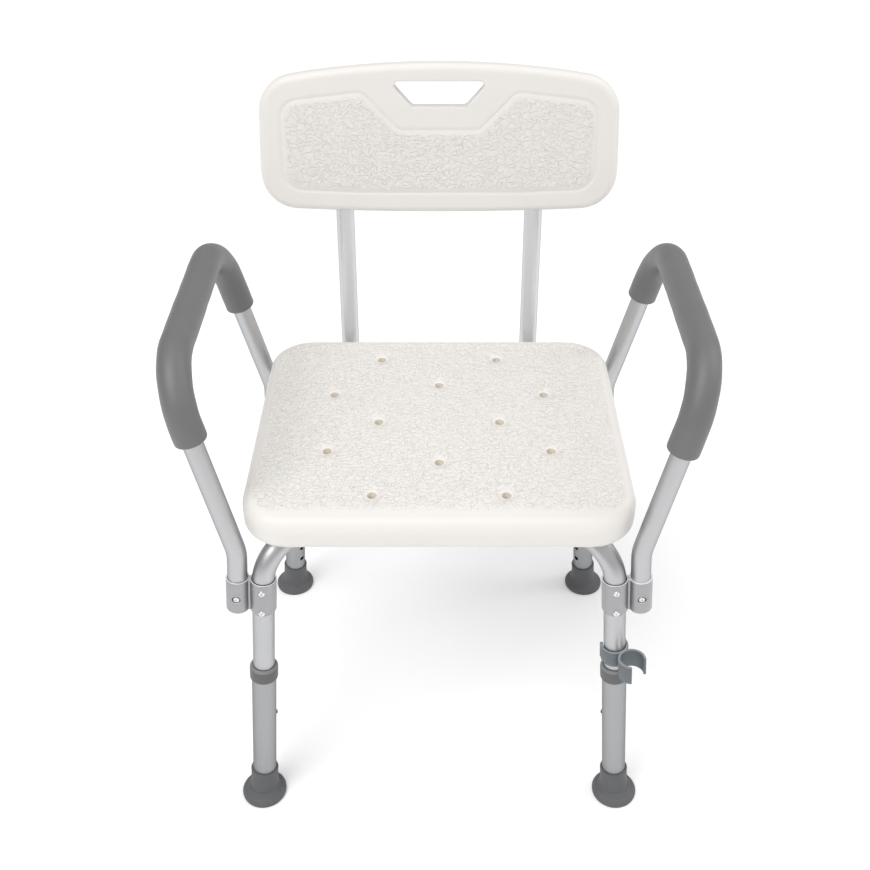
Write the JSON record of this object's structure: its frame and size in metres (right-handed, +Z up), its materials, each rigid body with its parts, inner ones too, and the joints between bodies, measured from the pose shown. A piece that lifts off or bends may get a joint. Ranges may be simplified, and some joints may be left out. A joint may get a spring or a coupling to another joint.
{
  "type": "shower chair",
  "caption": "Bath and shower chair: hollow white seat with drain holes, handled backrest, padded bent arms, crossed tube frame and telescopic push-button legs.",
  "frame": {"origin": "on the floor under the middle of the chair's outline, front to back and side to side", "axes": "+Z up, -Y to the front of the chair, +X to the right as the chair is seen from the front"},
  "size_m": [0.573, 0.481, 0.7881],
  "materials": {
    "white_plastic": "blow-moulded, fine leather grain on the seat and inside the backrest groove",
    "tube_metal": "bright satin anodised",
    "leg_metal": "satin anodised",
    "clamp_metal": "matt grey",
    "bright_metal": "bright",
    "grey_foam": "closed-cell foam with a smooth skin",
    "grey_rubber": "matt",
    "grey_plastic": "matt blue-grey"
  },
  "bodies": {
    "frame": {"seat": "white_plastic", "backrest": "white_plastic", "cross_tube_upper": "tube_metal", "cross_tube_lower": "tube_metal", "crossing_bolt": "bright_metal", "crossing_nut": "bright_metal", "backrest_screw_left": "bright_metal", "arm_tube_left": "tube_metal", "arm_pad_left": "grey_foam", "back_post_left": "tube_metal", "back_receiver_left": "grey_plastic", "receiver_screw_left": "bright_metal", "backrest_screw_right": "bright_metal", "arm_tube_right": "tube_metal", "arm_pad_right": "grey_foam", "back_post_right": "tube_metal", "back_receiver_right": "grey_plastic", "receiver_screw_right": "bright_metal", "seat_screw_front_left": "bright_metal", "button_spring_front_left": "bright_metal", "arm_clamp_front_left": "clamp_metal", "clamp_rivet_lower_front_left": "bright_metal", "clamp_rivet_upper_front_left": "bright_metal", "arm_screw_front_left": "bright_metal", "seat_screw_front_right": "bright_metal", "button_spring_front_right": "bright_metal", "arm_clamp_front_right": "clamp_metal", "clamp_rivet_lower_front_right": "bright_metal", "clamp_rivet_upper_front_right": "bright_metal", "arm_screw_front_right": "bright_metal", "seat_screw_rear_left": "bright_metal", "button_spring_rear_left": "bright_metal", "arm_clamp_rear_left": "clamp_metal", "clamp_rivet_lower_rear_left": "bright_metal", "clamp_rivet_upper_rear_left": "bright_metal", "arm_screw_rear_left": "bright_metal", "seat_screw_rear_right": "bright_metal", "button_spring_rear_right": "bright_metal", "arm_clamp_rear_right": "clamp_metal", "clamp_rivet_lower_rear_right": "bright_metal", "clamp_rivet_upper_rear_right": "bright_metal", "arm_screw_rear_right": "bright_metal"},
    "leg_front_left": {"leg_tube_front_left": "leg_metal", "leg_collar_front_left": "grey_plastic", "foot_front_left": "grey_rubber"},
    "leg_front_right": {"leg_tube_front_right": "leg_metal", "leg_collar_front_right": "grey_plastic", "foot_front_right": "grey_rubber"},
    "leg_rear_left": {"leg_tube_rear_left": "leg_metal", "leg_collar_rear_left": "grey_plastic", "foot_rear_left": "grey_rubber"},
    "leg_rear_right": {"leg_tube_rear_right": "leg_metal", "leg_collar_rear_right": "grey_plastic", "foot_rear_right": "grey_rubber"},
    "button_front_left": {"leg_button_front_left": "grey_plastic"},
    "button_front_right": {"leg_button_front_right": "grey_plastic"},
    "button_rear_left": {"leg_button_rear_left": "grey_plastic"},
    "button_rear_right": {"leg_button_rear_right": "grey_plastic"},
    "shower_clip": {"shower_head_clip": "grey_plastic"}
  },
  "joints": [
    {"name": "leg_slide_front_left", "type": "slide", "parent": "frame", "child": "leg_front_left", "axis": [0.08, 0.0673, 0.9945], "range_m": [-0.0672, 0.0672]},
    {"name": "leg_slide_front_right", "type": "slide", "parent": "frame", "child": "leg_front_right", "axis": [-0.08, 0.0673, 0.9945], "range_m": [-0.0672, 0.0448], "deforming": ["leg_button_front_right"]},
    {"name": "leg_slide_rear_left", "type": "slide", "parent": "frame", "child": "leg_rear_left", "axis": [0.08, -0.0673, 0.9945], "range_m": [-0.0672, 0.0672]},
    {"name": "leg_slide_rear_right", "type": "slide", "parent": "frame", "child": "leg_rear_right", "axis": [-0.08, -0.0673, 0.9945], "range_m": [-0.0672, 0.0672]},
    {"name": "button_press_front_left", "type": "slide", "parent": "frame", "child": "button_front_left", "axis": [0.761, 0.6403, -0.1045], "range_m": [-0.0062, 0], "stiffness_N_per_m": 1500, "springref_m": 0.0012, "deforming": ["button_spring_front_left"]},
    {"name": "button_press_front_right", "type": "slide", "parent": "frame", "child": "button_front_right", "axis": [-0.761, 0.6403, -0.1045], "range_m": [-0.0062, 0], "stiffness_N_per_m": 1500, "springref_m": 0.0012, "deforming": ["button_spring_front_right"]},
    {"name": "button_press_rear_left", "type": "slide", "parent": "frame", "child": "button_rear_left", "axis": [0.761, -0.6403, -0.1045], "range_m": [-0.0062, 0], "stiffness_N_per_m": 1500, "springref_m": 0.0012, "deforming": ["button_spring_rear_left"]},
    {"name": "button_press_rear_right", "type": "slide", "parent": "frame", "child": "button_rear_right", "axis": [-0.761, -0.6403, -0.1045], "range_m": [-0.0062, 0], "stiffness_N_per_m": 1500, "springref_m": 0.0012, "deforming": ["button_spring_rear_right"]},
    {"name": "shower_clip_swivel", "type": "hinge", "parent": "leg_front_right", "child": "shower_clip", "pos_m": [0.2036, -0.19616, 0.24366], "axis": [-0.08, 0.0673, 0.9945], "range_deg": [-120, 120]}
  ]
}
